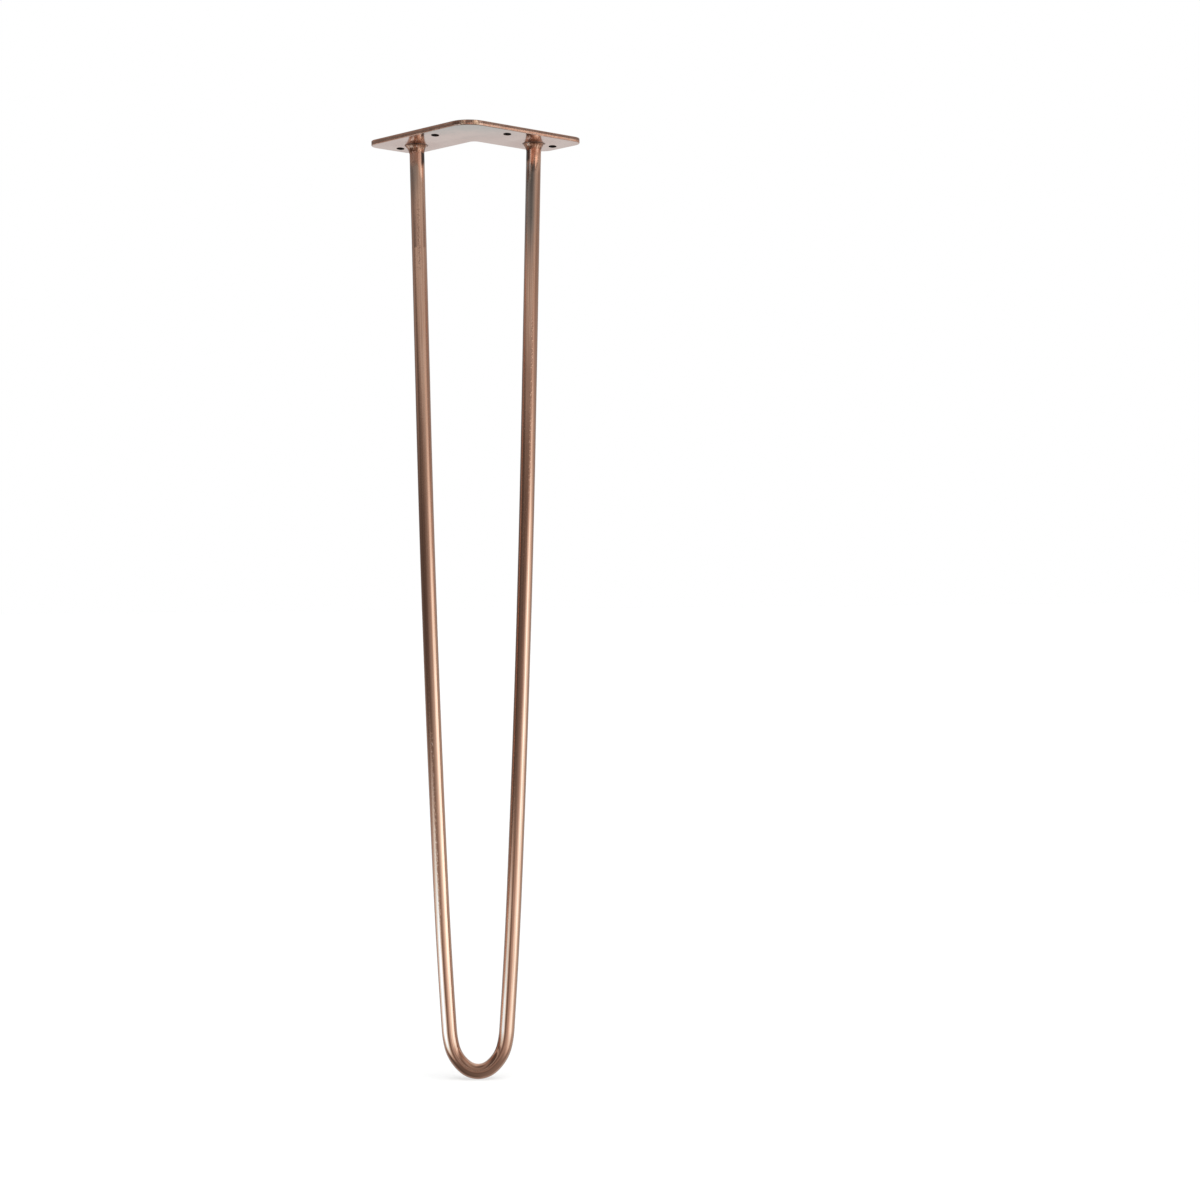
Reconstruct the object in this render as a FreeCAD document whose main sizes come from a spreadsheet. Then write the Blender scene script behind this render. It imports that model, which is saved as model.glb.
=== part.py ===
import FreeCAD, Part
import math
import os

import Sketcher
from FreeCAD import Placement, Rotation, Vector

# Hairpin table leg: a flat chevron plate, a round rod bent into a narrow U, and a fillet weld
# where each end of the rod meets the plate. Millimetres, +Z up.
#
# Frame. Z = 0 is the top face of the plate, the face that goes against the underside of the
# table. X runs across the leg, and X = 0 is its plane of symmetry. Y runs along the bisector of
# the plate's right angle, from the rounded outer corner (-Y) to the inner notch (+Y). The origin
# is midway between the two inner screw holes. The rod hangs down, and leans so that its foot
# comes under the outer corner.

DIMS = [
    # the leg as a whole
    ("overall_height", 711.0),       # top face of the plate to the lowest point of the foot
    # the plate
    ("plate_thickness", 4.0),
    ("arm_length", 120.0),           # along the outer edge, from the sharp outer corner
    ("arm_width", 49.0),
    ("corner_forward", 44.05),       # sharp outer corner to the origin, along -Y
    ("outer_corner_radius", 16.0),
    ("tip_radius", 11.0),            # both corners of each arm's end
    ("notch_radius", 4.5),
    ("edge_round", 0.6),             # the soft edge round the outline, both faces
    ("screw_hole_diameter", 5.5),
    ("inner_hole_spacing", 54.4),    # between the two inner holes, along X
    ("outer_hole_spacing", 118.0),   # between the two outer holes, along X
    ("outer_hole_back", 50.9),       # line of the outer holes behind the origin, along +Y
    ("hole_edge_break", 0.3),
    # the rod
    ("rod_diameter", 11.5),
    ("rod_half_spacing", 45.1),      # rod axis to X = 0, at the plate's lower face
    ("rod_back", 38.9),              # rod axes behind the origin, at the plate's lower face
    ("tilt_deg", 4.89),              # how far the plane of the U leans towards -Y at the foot
    ("lean_deg", 1.35),              # how far each leg leans inwards where it leaves the plate
    ("bow_one_end_deg", 2.65),       # direction of the axis after each curve, from the middle line
    ("bow_two_end_deg", 4.0),
    ("shoulder_end_deg", 14.0),
    ("haunch_end_deg", 52.0),
    ("bow_two_radius", 4500.0),
    ("shoulder_radius", 68.0),
    ("haunch_radius", 28.6),
    ("toe_radius", 15.4),
    # the welds
    ("weld_height", 6.0),            # up the rod
    ("weld_reach", 2.9),             # out along the plate, from the rod's surface
    ("weld_hollow", 0.7),            # how far the face of the fillet is drawn in
    ("weld_lap", 1.0),               # the blank bead runs on into the plate by this much
]

doc = FreeCAD.newDocument("hairpin_table_leg")
dims = doc.addObject("Spreadsheet::Sheet", "dims")
for row, (alias, value) in enumerate(DIMS, start=1):
    dims.set("A%d" % row, alias)
    dims.set("B%d" % row, repr(value))
    dims.setAlias("B%d" % row, alias)
doc.recompute()
D = {alias: float(dims.get(alias)) for alias, _ in DIMS}


def plane(body, role):
    for feature in body.Origin.OriginFeatures:
        if feature.Role == role:
            return feature
    raise RuntimeError("no origin plane " + role)


def new_body(name, label):
    body = doc.addObject("PartDesign::Body", name)
    body.Label = label
    return body


def new_sketch(body, name, role):
    sketch = body.newObject("Sketcher::SketchObject", name)
    sketch.AttachmentSupport = [(plane(body, role), "")]
    sketch.MapMode = "FlatFace"
    return sketch


def constrain(sketch, kind, *args, name=None, to=None):
    index = sketch.addConstraint(Sketcher.Constraint(kind, *args))
    if name:
        sketch.renameConstraint(index, name)
    if to:
        sketch.setExpression("Constraints." + name, to)
    return index


def line(sketch, a, b):
    return sketch.addGeometry(
        Part.LineSegment(Vector(a[0], a[1], 0), Vector(b[0], b[1], 0)), False
    )


def circle(sketch, centre, radius):
    return sketch.addGeometry(
        Part.Circle(Vector(centre[0], centre[1], 0), Vector(0, 0, 1), radius), False
    )


def edges_where(shape, wanted):
    return ["Edge%d" % (i + 1) for i, edge in enumerate(shape.Edges) if wanted(edge)]


# ---------------------------------------------------------------------------------------------
# mounting_plate: a flat right-angled chevron. Each arm is square-ended, with rounded corners.
# ---------------------------------------------------------------------------------------------
plate = new_body("PlateBody", "mounting_plate")
outline = new_sketch(plate, "PlateOutline", "XY_Plane")

r2 = math.sqrt(0.5)
L, W, F = D["arm_length"], D["arm_width"], D["corner_forward"]
corner = (0.0, -F)
tip_r = (L * r2, -F + L * r2)
far_r = (tip_r[0] - W * r2, tip_r[1] + W * r2)
notch = (0.0, -F + W * math.sqrt(2.0))
far_l = (-far_r[0], far_r[1])
tip_l = (-tip_r[0], tip_r[1])
ring = [corner, tip_r, far_r, notch, far_l, tip_l]
sides = [line(outline, ring[i], ring[(i + 1) % 6]) for i in range(6)]
for i in range(6):
    constrain(outline, "Coincident", sides[i], 2, sides[(i + 1) % 6], 1)
constrain(outline, "PointOnObject", sides[0], 1, -2)
constrain(outline, "PointOnObject", sides[3], 1, -2)
constrain(outline, "Angle", -1, 1, sides[0], 1, math.pi / 4)
constrain(outline, "Perpendicular", sides[0], sides[5])
constrain(outline, "Perpendicular", sides[0], sides[1])
constrain(outline, "Perpendicular", sides[5], sides[4])
constrain(outline, "Parallel", sides[0], sides[2])
constrain(outline, "Parallel", sides[5], sides[3])
constrain(outline, "Equal", sides[0], sides[5])
constrain(outline, "DistanceY", sides[0], 1, -1, 1, F,
          name="corner_forward", to="dims.corner_forward")
constrain(outline, "Distance", sides[0], L, name="arm_length", to="dims.arm_length")
constrain(outline, "Distance", sides[1], W, name="arm_width", to="dims.arm_width")

pad = plate.newObject("PartDesign::Pad", "PlatePad")
pad.Profile = outline
pad.Reversed = True
pad.Length = D["plate_thickness"]
pad.setExpression("Length", "dims.plate_thickness")
doc.recompute()


def corner_fillet(name, points, radius):
    """Rounds the upright edges that stand at these points of the outline."""
    base = plate.Tip
    shape = base.Shape

    def wanted(edge):
        if len(edge.Vertexes) != 2:
            return False
        a, b = (v.Point for v in edge.Vertexes)
        if abs(a.x - b.x) > 1e-6 or abs(a.y - b.y) > 1e-6:
            return False
        return any(math.hypot(a.x - p[0], a.y - p[1]) < 0.01 for p in points)

    found = edges_where(shape, wanted)
    if len(found) != len(points):
        raise RuntimeError("%s: %d edges found" % (name, len(found)))
    fillet = plate.newObject("PartDesign::Fillet", name)
    fillet.Base = (base, found)
    fillet.Radius = D[radius]
    fillet.setExpression("Radius", "dims." + radius)
    doc.recompute()
    return fillet


corner_fillet("OuterCorner", [corner], "outer_corner_radius")
corner_fillet("ArmEnds", [tip_r, far_r, far_l, tip_l], "tip_radius")
corner_fillet("Notch", [notch], "notch_radius")

# the outline's edges are softened on both faces before the holes are made
base = plate.Tip
T = D["plate_thickness"]


def on_a_face(edge):
    zs = [v.Z for v in edge.Vertexes]
    return all(abs(z) < 1e-6 for z in zs) or all(abs(z + T) < 1e-6 for z in zs)


soft = plate.newObject("PartDesign::Fillet", "SoftEdges")
soft.Base = (base, edges_where(base.Shape, on_a_face))
soft.Radius = D["edge_round"]
soft.setExpression("Radius", "dims.edge_round")
doc.recompute()

# four plain screw holes, two in each arm
holes = new_sketch(plate, "ScrewHoles", "XY_Plane")
hole_r = D["screw_hole_diameter"] / 2
xi, xo, yo = D["inner_hole_spacing"] / 2, D["outer_hole_spacing"] / 2, D["outer_hole_back"]
ids = [circle(holes, c, hole_r) for c in [(-xi, 0.0), (xi, 0.0), (-xo, yo), (xo, yo)]]
for i in ids[1:]:
    constrain(holes, "Equal", ids[0], i)
constrain(holes, "Diameter", ids[0], 2 * hole_r,
          name="hole_diameter", to="dims.screw_hole_diameter")
constrain(holes, "PointOnObject", ids[0], 3, -1)
constrain(holes, "Symmetric", ids[0], 3, ids[1], 3, -1, 1)
constrain(holes, "Symmetric", ids[2], 3, ids[3], 3, -2)
constrain(holes, "DistanceX", ids[0], 3, ids[1], 3, 2 * xi,
          name="inner_spacing", to="dims.inner_hole_spacing")
constrain(holes, "DistanceX", ids[2], 3, ids[3], 3, 2 * xo,
          name="outer_spacing", to="dims.outer_hole_spacing")
constrain(holes, "DistanceY", -1, 1, ids[3], 3, yo,
          name="outer_back", to="dims.outer_hole_back")
drill = plate.newObject("PartDesign::Pocket", "DrillScrewHoles")
drill.Profile = holes
drill.Type = "ThroughAll"
drill.Reversed = False
doc.recompute()
removed = soft.Shape.Volume - drill.Shape.Volume
if abs(removed - 4 * math.pi * hole_r ** 2 * T) > 1.0:
    raise RuntimeError("screw holes: %.1f mm3 removed" % removed)

# the drill leaves each hole with a fine broken edge on both faces
base = plate.Tip


def hole_rim(edge):
    curve = edge.Curve
    return (
        isinstance(curve, Part.Circle)
        and abs(curve.Radius - hole_r) < 1e-6
        and len(edge.Vertexes) == 1
        and on_a_face(edge)
    )


rims = edges_where(base.Shape, hole_rim)
if len(rims) != 8:
    raise RuntimeError("%d hole rims found" % len(rims))
breaks = plate.newObject("PartDesign::Chamfer", "HoleEdges")
breaks.Base = (base, rims)
breaks.Size = D["hole_edge_break"]
breaks.setExpression("Size", "dims.hole_edge_break")
doc.recompute()

# ---------------------------------------------------------------------------------------------
# hairpin_rod: one round rod. Each leg runs straight, bows gently inwards, then closes in three
# tighter tangent curves to the foot. One half is swept and mirrored about X = 0. The U is drawn
# upright and the body's Placement leans it; the tops are cut in the plane of the plate.
# ---------------------------------------------------------------------------------------------
rod = new_body("RodBody", "hairpin_rod")
tilt = math.radians(D["tilt_deg"])
rod_r = D["rod_diameter"] / 2
drop = (D["overall_height"] - T - rod_r) / math.cos(tilt)
over = 12.0  # the swept leg runs on above the plate's lower face by this much, and is cut off
DROP = "(dims.overall_height - dims.plate_thickness - dims.rod_diameter / 2) / cos(dims.tilt_deg)"


def half_path(lean, straight, radii, ends):
    """Points and arcs of one half, from the top down; angles are from straight down, inwards."""
    x = D["rod_half_spacing"] + over * math.tan(lean)
    z = over
    start = (x, z)
    x, z = x - math.sin(lean) * straight, z - math.cos(lean) * straight
    out = [("line", start, (x, z))]
    a = lean
    for radius, end in zip(radii, ends):
        cx, cz = x - math.cos(a) * radius, z + math.sin(a) * radius
        out.append(("arc", (cx, cz), radius, -end, -a))
        a = end
        x, z = cx + math.cos(a) * radius, cz - math.sin(a) * radius
    return out, (x, z)


lean = math.radians(D["lean_deg"])
ends = [math.radians(D[k]) for k in
        ("bow_one_end_deg", "bow_two_end_deg", "shoulder_end_deg", "haunch_end_deg")]
ends.append(math.pi / 2)
tight = [D["bow_two_radius"], D["shoulder_radius"], D["haunch_radius"], D["toe_radius"]]

# the straight run and the first bow take up what is left; two unknowns, two closing lengths
straight, bow = 200.0, 16000.0
for _ in range(40):
    def miss(s_, b_):
        _, (x_, z_) = half_path(lean, s_, [b_] + tight, ends)
        return x_, z_ + drop
    fx, fz = miss(straight, bow)
    ax, az = miss(straight + 0.01, bow)
    bx, bz = miss(straight, bow + 1.0)
    j11, j21 = (ax - fx) / 0.01, (az - fz) / 0.01
    j12, j22 = (bx - fx), (bz - fz)
    det = j11 * j22 - j12 * j21
    straight -= (fx * j22 - fz * j12) / det
    bow -= (fz * j11 - fx * j21) / det
    if math.hypot(fx, fz) < 1e-10:
        break

pieces, foot = half_path(lean, straight, [bow] + tight, ends)
spine = new_sketch(rod, "HalfAxis", "XZ_Plane")
g = [line(spine, pieces[0][1], pieces[0][2])]
for _, centre, radius, a0, a1 in pieces[1:]:
    circle_ = Part.Circle(Vector(centre[0], centre[1], 0), Vector(0, 0, 1), radius)
    g.append(spine.addGeometry(Part.ArcOfCircle(circle_, a0, a1), False))
# each arc starts at its lower end, so the run above joins its end point
constrain(spine, "Tangent", g[0], 2, g[1], 2)
for i in range(1, 5):
    constrain(spine, "Tangent", g[i], 1, g[i + 1], 2)
constrain(spine, "PointOnObject", g[5], 1, -2)
constrain(spine, "PointOnObject", g[5], 3, -2)
for i, alias in ((2, "bow_two_radius"), (3, "shoulder_radius"),
                 (4, "haunch_radius"), (5, "toe_radius")):
    constrain(spine, "Radius", g[i], D[alias], name=alias, to="dims." + alias)
turns = [("bow_one_turn", 1, "dims.bow_one_end_deg - dims.lean_deg", ends[0] - lean),
         ("bow_two_turn", 2, "dims.bow_two_end_deg - dims.bow_one_end_deg", ends[1] - ends[0]),
         ("shoulder_turn", 3, "dims.shoulder_end_deg - dims.bow_two_end_deg", ends[2] - ends[1]),
         ("haunch_turn", 4, "dims.haunch_end_deg - dims.shoulder_end_deg", ends[3] - ends[2]),
         ("toe_turn", 5, "90 - dims.haunch_end_deg", ends[4] - ends[3])]
for name, i, text, value in turns:
    constrain(spine, "Angle", g[i], value, name=name, to=text)
constrain(spine, "DistanceX", -1, 1, g[0], 1, pieces[0][1][0], name="top_across",
          to="dims.rod_half_spacing + %r * tan(dims.lean_deg)" % over)
constrain(spine, "DistanceY", -1, 1, g[0], 1, over, name="top_above")
constrain(spine, "DistanceY", g[5], 1, -1, 1, drop, name="drop", to=DROP)

section = new_sketch(rod, "RodSection", "YZ_Plane")
c = circle(section, (0.0, -drop), rod_r)
constrain(section, "PointOnObject", c, 3, -2)
constrain(section, "DistanceY", c, 3, -1, 1, drop, name="drop", to=DROP)
constrain(section, "Diameter", c, 2 * rod_r, name="rod_diameter", to="dims.rod_diameter")

sweep = rod.newObject("PartDesign::AdditivePipe", "HalfRod")
sweep.Profile = section
sweep.Spine = spine
sweep.Mode = "Standard"
sweep.Transition = "Transformed"
doc.recompute()

both = rod.newObject("PartDesign::Mirrored", "BothHalves")
both.Originals = [sweep]
both.MirrorPlane = (plane(rod, "YZ_Plane"), [""])
rod.Tip = both
doc.recompute()

# the plate's lower face, seen edge-on in the leaning frame of the rod
trim_sketch = new_sketch(rod, "TopCut", "YZ_Plane")
ct, st = math.cos(tilt), math.sin(tilt)
reach, rise = 20.0, 40.0
p = [(-reach * ct, -reach * st), (reach * ct, reach * st)]
p.append((p[1][0] - rise * st, p[1][1] + rise * ct))
p.append((p[0][0] - rise * st, p[0][1] + rise * ct))
q = [line(trim_sketch, p[i], p[(i + 1) % 4]) for i in range(4)]
for i in range(4):
    constrain(trim_sketch, "Coincident", q[i], 2, q[(i + 1) % 4], 1)
constrain(trim_sketch, "Perpendicular", q[0], q[1])
constrain(trim_sketch, "Perpendicular", q[1], q[2])
constrain(trim_sketch, "Perpendicular", q[2], q[3])
constrain(trim_sketch, "Symmetric", q[0], 1, q[0], 2, -1, 1)
constrain(trim_sketch, "Angle", -1, 1, q[0], 1, tilt, name="tilt", to="dims.tilt_deg")
constrain(trim_sketch, "Distance", q[0], 2 * reach, name="reach")
constrain(trim_sketch, "Distance", q[1], rise, name="rise")
trim = rod.newObject("PartDesign::Pocket", "TopCutPocket")
trim.Profile = trim_sketch
if hasattr(trim, "SideType"):
    trim.SideType = "Symmetric"
else:
    trim.Midplane = True
trim.Type = "ThroughAll"
rod.Tip = trim
rod.Placement = Placement(Vector(0, D["rod_back"], -T), Rotation(Vector(1, 0, 0), -D["tilt_deg"]))
rod.setExpression("Placement.Base.y", "dims.rod_back")
rod.setExpression("Placement.Base.z", "-dims.plate_thickness")
rod.setExpression("Placement.Rotation.Angle", "-dims.tilt_deg")
doc.recompute()

# ---------------------------------------------------------------------------------------------
# weld_left, weld_right: a fillet bead round each end of the rod. Each is turned about the rod's
# own axis, with a hollow face, and cut to the rod and to the plate's lower face.
# ---------------------------------------------------------------------------------------------


def weld(side, label):
    name = label.title().replace("_", "")
    bead = new_body(name + "Bead", label + "_bead")
    face = new_sketch(bead, name + "Profile", "XZ_Plane")
    high, reach_, lap = D["weld_height"], D["weld_reach"], D["weld_lap"]
    toe = (rod_r + reach_, 0.0)
    top = (rod_r + reach_, lap)
    inner_top = (rod_r - 2.0, lap)
    inner_low = (rod_r - 2.0, -high)
    lip = (rod_r, -high)
    a = line(face, toe, top)
    b = line(face, top, inner_top)
    c_ = line(face, inner_top, inner_low)
    d = line(face, inner_low, lip)
    mid = ((lip[0] + toe[0]) / 2, (lip[1] + toe[1]) / 2)
    along = (toe[0] - lip[0], toe[1] - lip[1])
    size = math.hypot(*along)
    hollow = D["weld_hollow"]
    # the face is an arc whose centre lies outside the bead, so that the fillet is drawn in
    face_r = (size * size / 4 + hollow * hollow) / (2 * hollow)
    off = face_r - hollow
    centre = (mid[0] + along[1] / size * off, mid[1] - along[0] / size * off)
    from_toe = math.atan2(toe[1] - centre[1], toe[0] - centre[0])
    to_lip = math.atan2(lip[1] - centre[1], lip[0] - centre[0])
    if (to_lip - from_toe) % (2 * math.pi) > math.pi:
        raise RuntimeError(label + ": the fillet's face turns the wrong way")
    face_circle = Part.Circle(Vector(centre[0], centre[1], 0), Vector(0, 0, 1), face_r)
    e = face.addGeometry(Part.ArcOfCircle(face_circle, from_toe, to_lip), False)
    at_toe, at_lip = 1, 2
    for pair in ((a, 2, b, 1), (b, 2, c_, 1), (c_, 2, d, 1), (d, 2, e, at_lip), (e, at_toe, a, 1)):
        constrain(face, "Coincident", *pair)
    constrain(face, "Vertical", a)
    constrain(face, "Horizontal", b)
    constrain(face, "Vertical", c_)
    constrain(face, "Horizontal", d)
    constrain(face, "PointOnObject", a, 1, -1)
    constrain(face, "DistanceX", -1, 1, a, 1, toe[0], name="toe",
              to="dims.rod_diameter / 2 + dims.weld_reach")
    constrain(face, "DistanceX", -1, 1, d, 2, lip[0], name="lip", to="dims.rod_diameter / 2")
    constrain(face, "DistanceX", d, 1, d, 2, 2.0, name="bite")
    constrain(face, "DistanceY", -1, 1, a, 2, lap, name="lap", to="dims.weld_lap")
    constrain(face, "DistanceY", d, 2, -1, 1, high, name="high", to="dims.weld_height")
    # radius of a curve with this hollow on its chord
    chord = "((dims.weld_height * dims.weld_height + dims.weld_reach * dims.weld_reach) / 4"
    constrain(face, "Radius", e, face_r, name="face_radius",
              to=chord + " + dims.weld_hollow * dims.weld_hollow) / (2 * dims.weld_hollow)")
    turn = bead.newObject("PartDesign::Revolution", name + "Turn")
    turn.Profile = face
    turn.ReferenceAxis = (face, ["V_Axis"])
    turn.Angle = 360.0
    # the rod's own axis: it leans inwards in the plane of the U, and that plane leans forwards
    lean_turn = Rotation(Vector(0, 1, 0), side * D["lean_deg"])
    tilt_turn = Rotation(Vector(1, 0, 0), -D["tilt_deg"])
    bead.Placement = Placement(
        Vector(side * D["rod_half_spacing"], D["rod_back"], -T), tilt_turn.multiply(lean_turn)
    )
    bead.setExpression("Placement.Base.x", "%d * dims.rod_half_spacing" % side)
    bead.setExpression("Placement.Base.y", "dims.rod_back")
    bead.setExpression("Placement.Base.z", "-dims.plate_thickness")
    doc.recompute()
    off_rod = doc.addObject("Part::Cut", name + "OffRod")
    off_rod.Base = bead
    off_rod.Tool = rod
    off_plate = doc.addObject("Part::Cut", name)
    off_plate.Base = off_rod
    off_plate.Tool = plate
    off_plate.Label = label
    doc.recompute()
    return off_plate


weld_left = weld(-1, "weld_left")
weld_right = weld(1, "weld_right")

# ---------------------------------------------------------------------------------------------
# every object is checked, then each piece is written under its own name
# ---------------------------------------------------------------------------------------------
doc.recompute()
for obj in doc.Objects:
    if {"Invalid", "Error"} & set(obj.State):
        raise RuntimeError("%s (%s): %s" % (obj.Name, obj.Label, obj.State))
for sketch in (outline, holes, spine, section, trim_sketch):
    if not sketch.FullyConstrained:
        print("note: %s has %d degrees of freedom left" % (sketch.Name, sketch.DoF))

parts = [plate, rod, weld_left, weld_right]
for part in parts:
    shape = part.Shape
    if shape.isNull() or not shape.isValid():
        raise RuntimeError(part.Label + ": the shape is null or not valid")
    if len(shape.Solids) != 1:
        raise RuntimeError("%s: %d solids" % (part.Label, len(shape.Solids)))

box = rod.Shape.optimalBoundingBox(False, False)
if abs(box.ZMin + D["overall_height"]) > 0.02 or abs(box.ZMax + T) > 1e-3:
    raise RuntimeError("hairpin_rod: z from %.3f to %.3f" % (box.ZMin, box.ZMax))
for bead in (weld_left, weld_right):
    if not 150 < bead.Shape.Volume < 900:
        raise RuntimeError("%s: %.0f mm3" % (bead.Label, bead.Shape.Volume))
half_length = straight + sum(
    r_ * (e1 - e0) for r_, e0, e1 in zip([bow] + tight, [lean] + ends[:-1], ends)
)
full = math.pi * rod_r ** 2 * half_length * 2
print("straight run %.1f, first bow radius %.0f, axis length %.1f"
      % (straight - over, bow, 2 * (half_length - over)))
print("swept %.0f mm3 against section times length %.0f mm3" % (both.Shape.Volume, full))
if abs(both.Shape.Volume - full) > 0.002 * full:
    raise RuntimeError("hairpin_rod: the sweep's volume is off")

os.makedirs("parts", exist_ok=True)
for part in parts:
    part.Shape.exportStep("parts/%s.step" % part.Label)
    b = part.Shape.optimalBoundingBox(False, False)
    print("%-15s %9.1f mm3  x %.2f..%.2f  y %.2f..%.2f  z %.2f..%.2f"
          % (part.Label, part.Shape.Volume, b.XMin, b.XMax, b.YMin, b.YMax, b.ZMin, b.ZMax))
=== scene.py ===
import math

import bpy
import numpy as np
from mathutils import Matrix, Vector, noise


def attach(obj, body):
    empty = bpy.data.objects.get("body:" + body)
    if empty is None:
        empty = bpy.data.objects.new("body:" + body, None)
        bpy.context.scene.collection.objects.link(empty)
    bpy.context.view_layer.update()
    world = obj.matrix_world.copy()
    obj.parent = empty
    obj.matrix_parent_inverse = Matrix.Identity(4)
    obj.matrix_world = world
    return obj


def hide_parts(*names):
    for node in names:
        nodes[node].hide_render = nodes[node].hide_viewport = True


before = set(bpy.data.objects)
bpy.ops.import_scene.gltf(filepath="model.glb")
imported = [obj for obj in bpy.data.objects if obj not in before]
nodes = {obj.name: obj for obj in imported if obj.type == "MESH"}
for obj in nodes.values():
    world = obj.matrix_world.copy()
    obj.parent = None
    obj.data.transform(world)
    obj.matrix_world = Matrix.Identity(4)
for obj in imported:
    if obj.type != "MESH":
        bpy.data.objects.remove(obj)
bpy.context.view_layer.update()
scene = bpy.context.scene
MM = 0.001

# ---------------------------------------------------------------------------------------------
# sizes shared with the construction model, millimetres
# ---------------------------------------------------------------------------------------------
HEIGHT, THICK = 711.0, 4.0
ROD_R = 5.75
HALF, BACK = 45.1, 38.9
TILT, LEAN = math.radians(4.89), math.radians(1.35)
ENDS = [math.radians(a) for a in (2.65, 4.0, 14.0, 52.0, 90.0)]
TIGHT = [4500.0, 68.0, 28.6, 15.4]
DROP = (HEIGHT - THICK - ROD_R) / math.cos(TILT)


# ---------------------------------------------------------------------------------------------
# camera: level, a little right of the leg, below the plate, so that its underside shows
# ---------------------------------------------------------------------------------------------
def make_camera():
    px = 2311.71                       # focal length in pixels of the 1200 wide frame
    psi, pitch, roll = math.radians(-4.49), math.radians(-0.2690), math.radians(-0.5555)
    pan = math.radians(3.0535)         # the leg stands left of the middle of the frame
    right = Vector((math.cos(psi), -math.sin(psi), 0.0))
    ahead = Vector((math.sin(psi), math.cos(psi), 0.0))
    up = Vector((0.0, 0.0, 1.0))
    ahead, right = (ahead * math.cos(pan) + right * math.sin(pan),
                    right * math.cos(pan) - ahead * math.sin(pan))
    ahead, up = (ahead * math.cos(pitch) + up * math.sin(pitch),
                 up * math.cos(pitch) - ahead * math.sin(pitch))
    right, up = (right * math.cos(roll) + up * math.sin(roll),
                 up * math.cos(roll) - right * math.sin(roll))
    cam = bpy.data.cameras.new("camera")
    cam.sensor_width = 36.0
    cam.lens = 36.0 * px / 1200.0
    cam.clip_start, cam.clip_end = 0.02, 200.0
    cam.dof.use_dof = False
    obj = bpy.data.objects.new("camera", cam)
    scene.collection.objects.link(obj)
    rot = Matrix((right, up, -ahead)).transposed().to_4x4()
    obj.matrix_world = Matrix.Translation(Vector((0.13718, -1.73851, -0.34696))) @ rot
    scene.camera = obj
    return obj


camera = make_camera()


# ---------------------------------------------------------------------------------------------
# small helpers for shader nodes
# ---------------------------------------------------------------------------------------------
class Tree:
    def __init__(self, tree):
        self.t = tree
        tree.nodes.clear()

    def new(self, kind, **settings):
        n = self.t.nodes.new(kind)
        for key, value in settings.items():
            setattr(n, key, value)
        return n

    def put(self, socket, value):
        if isinstance(value, bpy.types.NodeSocket):
            self.t.links.new(value, socket)
        elif value is not None:
            socket.default_value = value

    def math(self, op, a, b=None, c=None, clamp=False):
        n = self.new("ShaderNodeMath", operation=op, use_clamp=clamp)
        for socket, value in zip(n.inputs, (a, b, c)):
            self.put(socket, value)
        return n.outputs[0]

    def add(self, *parts):
        total = parts[0]
        for p in parts[1:]:
            total = self.math("ADD", total, p)
        return total

    def mul(self, *parts):
        total = parts[0]
        for p in parts[1:]:
            total = self.math("MULTIPLY", total, p)
        return total

    def ramp(self, value, lo, hi, to_lo=0.0, to_hi=1.0, smooth=True):
        n = self.new("ShaderNodeMapRange", clamp=True)
        n.interpolation_type = "SMOOTHSTEP" if smooth else "LINEAR"
        self.put(n.inputs[0], value)
        for i, v in enumerate((lo, hi, to_lo, to_hi), start=1):
            self.put(n.inputs[i], v)
        return n.outputs[0]

    def vec(self, op, a, b=None, scale=None):
        n = self.new("ShaderNodeVectorMath", operation=op)
        self.put(n.inputs[0], a)
        if b is not None:
            self.put(n.inputs[1], b)
        if scale is not None:
            self.put(n.inputs["Scale"], scale)
        return n.outputs["Value"] if op in ("LENGTH", "DOT_PRODUCT", "DISTANCE") else n.outputs[0]

    def scaled(self, coords, sx, sy, sz, shift=(0.0, 0.0, 0.0)):
        n = self.new("ShaderNodeMapping", vector_type="POINT")
        self.put(n.inputs["Vector"], coords)
        n.inputs["Location"].default_value = shift
        n.inputs["Scale"].default_value = (sx, sy, sz)
        return n.outputs[0]

    def noise(self, coords, scale=1.0, detail=2.0, rough=0.5, distort=0.0):
        n = self.new("ShaderNodeTexNoise", noise_dimensions="3D")
        self.put(n.inputs["Vector"], coords)
        n.inputs["Scale"].default_value = scale
        n.inputs["Detail"].default_value = detail
        n.inputs["Roughness"].default_value = rough
        n.inputs["Distortion"].default_value = distort
        return n.outputs["Fac"]

    def mix(self, fac, a, b, blend="MIX"):
        n = self.new("ShaderNodeMix", data_type="RGBA", blend_type=blend)
        n.clamp_factor = True
        self.put(n.inputs[0], fac)
        self.put(n.inputs[6], a)
        self.put(n.inputs[7], b)
        return n.outputs[2]

    def bump(self, height, strength, distance, normal=None):
        n = self.new("ShaderNodeBump")
        n.inputs["Strength"].default_value = strength
        n.inputs["Distance"].default_value = distance
        self.put(n.inputs["Height"], height)
        if normal is not None:
            self.put(n.inputs["Normal"], normal)
        return n.outputs[0]


def rgb(r, g, b):
    return (r, g, b, 1.0)


def daylight(t, level):
    """Light of this level: neutral where it is dim, cooler where it is bright, and nearly white where
    it is brightest."""
    red = t.math("DIVIDE", level, t.math("SQRT", t.add(t.mul(level, level, 1.2), 1.0)))
    red = t.math("MAXIMUM", red, t.mul(level, 0.52))
    blue = t.mul(level, t.add(t.math("MINIMUM", t.mul(level, level, 0.15), 0.50), 1.0))
    n = t.new("ShaderNodeCombineColor")
    for socket, value in zip(n.inputs, (red, level, blue)):
        t.put(socket, value)
    return n.outputs[0]


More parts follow.
